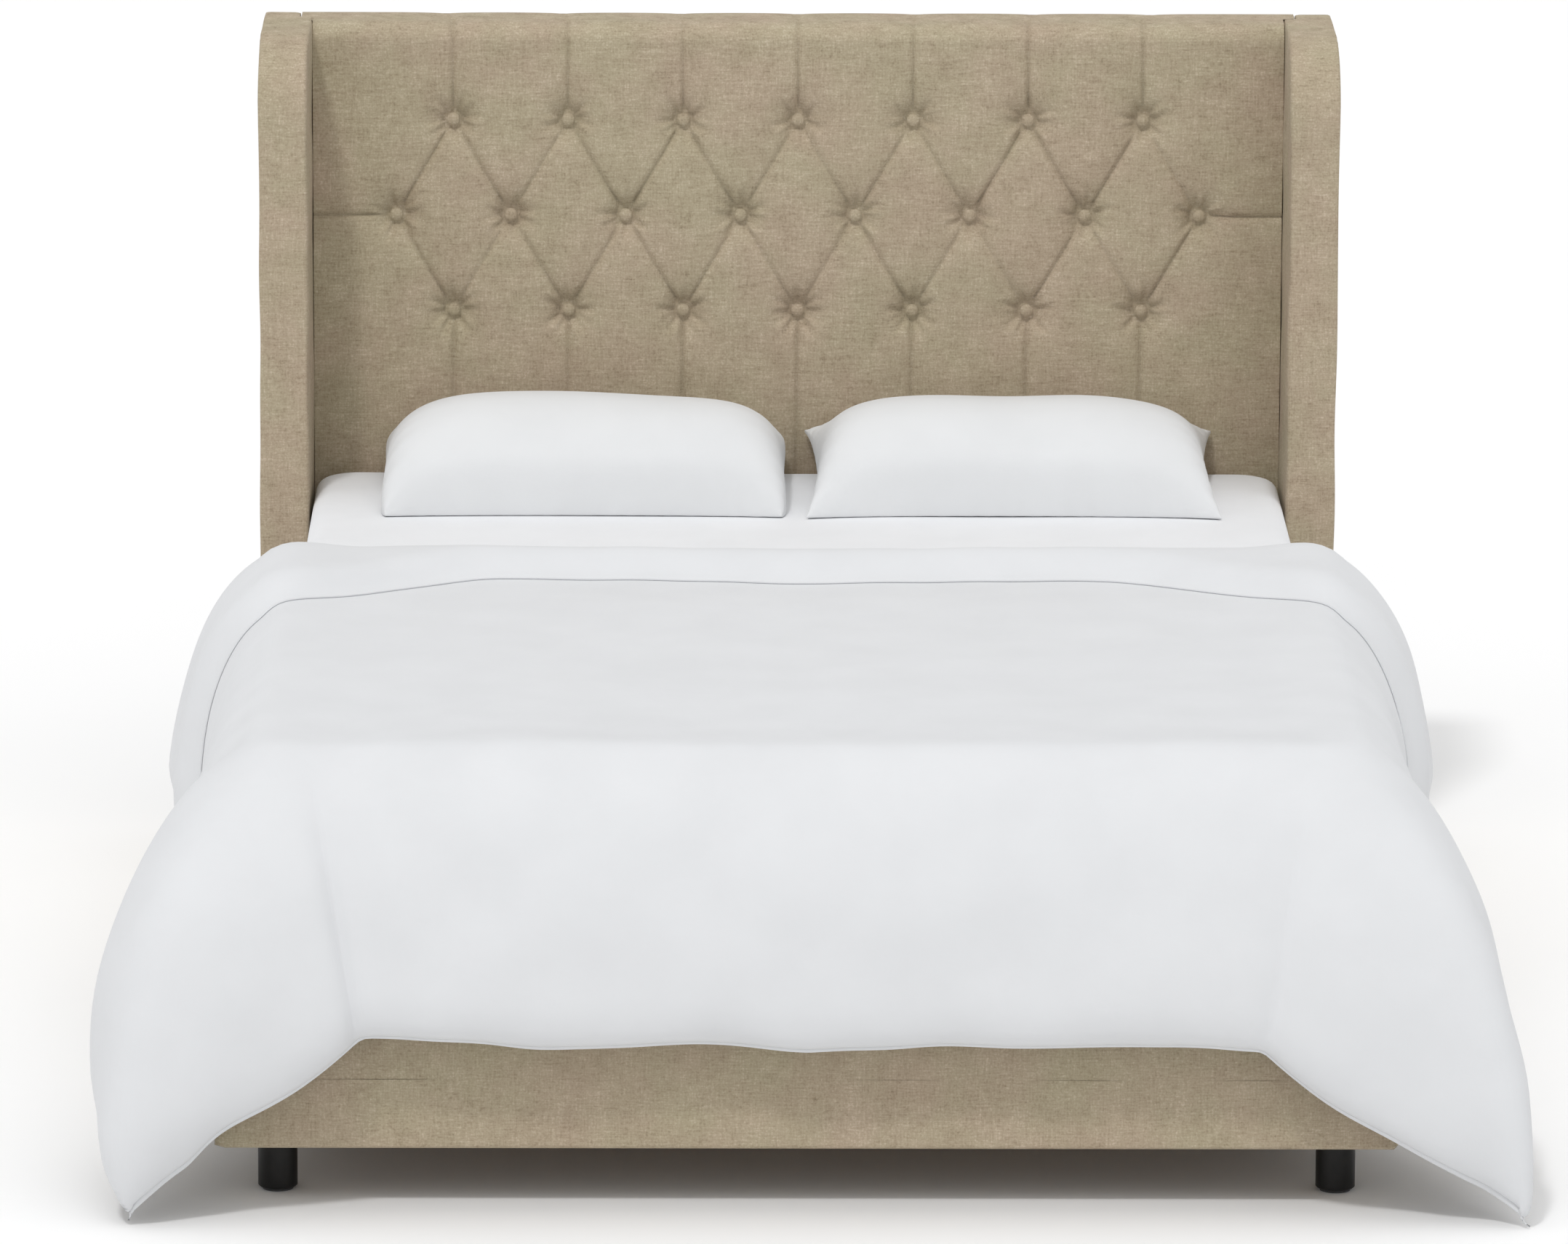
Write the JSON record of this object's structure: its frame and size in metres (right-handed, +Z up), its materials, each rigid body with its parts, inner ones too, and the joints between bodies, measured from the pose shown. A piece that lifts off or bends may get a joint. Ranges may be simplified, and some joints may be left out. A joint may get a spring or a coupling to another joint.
{
  "type": "upholstered headboard bed",
  "caption": "Queen bed with a diamond-tufted wingback headboard, padded rails, black round legs, a slatted base, and a mattress made up with a fitted sheet, pillows and a duvet.",
  "frame": {"origin": "on the floor, under the middle of the bed's outer box", "axes": "+X to the right across the bed, seen from its foot; +Y from the foot to the headboard; +Z up"},
  "size_m": [1.9694, 2.3237, 1.319],
  "materials": {
    "linen": "matte",
    "foam": "matte",
    "wood": "matte",
    "plywood": "matte",
    "dust_cover": "matte",
    "twine": "matte",
    "steel": "satin",
    "black_paint": "satin",
    "glide_plastic": "matte",
    "ticking": "matte",
    "sheet_cotton": "matte",
    "duvet_cotton": "matte",
    "pillow_cotton": "matte"
  },
  "bodies": {
    "frame": {"headboard_post_left": "wood", "headboard_post_right": "wood", "headboard_top_rail": "wood", "headboard_mid_rail": "wood", "headboard_bottom_rail": "wood", "headboard_panel": "plywood", "headboard_foam": "foam", "headboard_cover": "linen", "headboard_back_cover": "dust_cover", "tuft_buttons": "linen", "tuft_ties": "twine", "wing_core_left": "wood", "wing_core_right": "wood", "wing_foam_left": "foam", "wing_foam_right": "foam", "wing_cover_left": "linen", "wing_cover_right": "linen", "wing_bolts": "steel", "side_rail_left": "wood", "side_rail_right": "wood", "side_rail_foam_left": "foam", "side_rail_foam_right": "foam", "side_rail_cover_left": "linen", "side_rail_cover_right": "linen", "slat_cleat_left": "wood", "slat_cleat_right": "wood", "head_bracket_left": "steel", "head_bracket_right": "steel", "head_bracket_bolts": "steel", "foot_rail": "wood", "foot_rail_foam": "foam", "foot_rail_cover": "linen", "corner_block_left": "wood", "corner_block_right": "wood", "corner_bracket_left": "steel", "corner_bracket_right": "steel", "corner_bolts": "steel", "center_beam": "wood", "beam_hanger_head": "steel", "beam_hanger_foot": "steel", "center_legs": "wood", "center_leg_glides": "glide_plastic", "slats": "wood", "foot_leg_left": "black_paint", "foot_leg_right": "black_paint", "head_leg_left": "black_paint", "head_leg_right": "black_paint", "leg_hanger_bolts": "steel", "leg_glides": "glide_plastic"},
    "mattress": {"mattress": "ticking", "fitted_sheet": "sheet_cotton"},
    "duvet": {"duvet": "duvet_cotton"},
    "pillow_left": {"pillow_left": "pillow_cotton"},
    "pillow_right": {"pillow_right": "pillow_cotton"}
  },
  "joints": [
    {"name": "mattress_lift", "type": "slide", "parent": "frame", "child": "mattress", "axis": [0, 0, 1], "range_m": [0, 0.3]},
    {"name": "duvet_lift", "type": "slide", "parent": "mattress", "child": "duvet", "axis": [0, 0, 1], "range_m": [0, 0.7]},
    {"name": "pillow_left_lift", "type": "slide", "parent": "mattress", "child": "pillow_left", "axis": [0, 0, 1], "range_m": [0, 0.3]},
    {"name": "pillow_right_lift", "type": "slide", "parent": "mattress", "child": "pillow_right", "axis": [0, 0, 1], "range_m": [0, 0.3]}
  ]
}
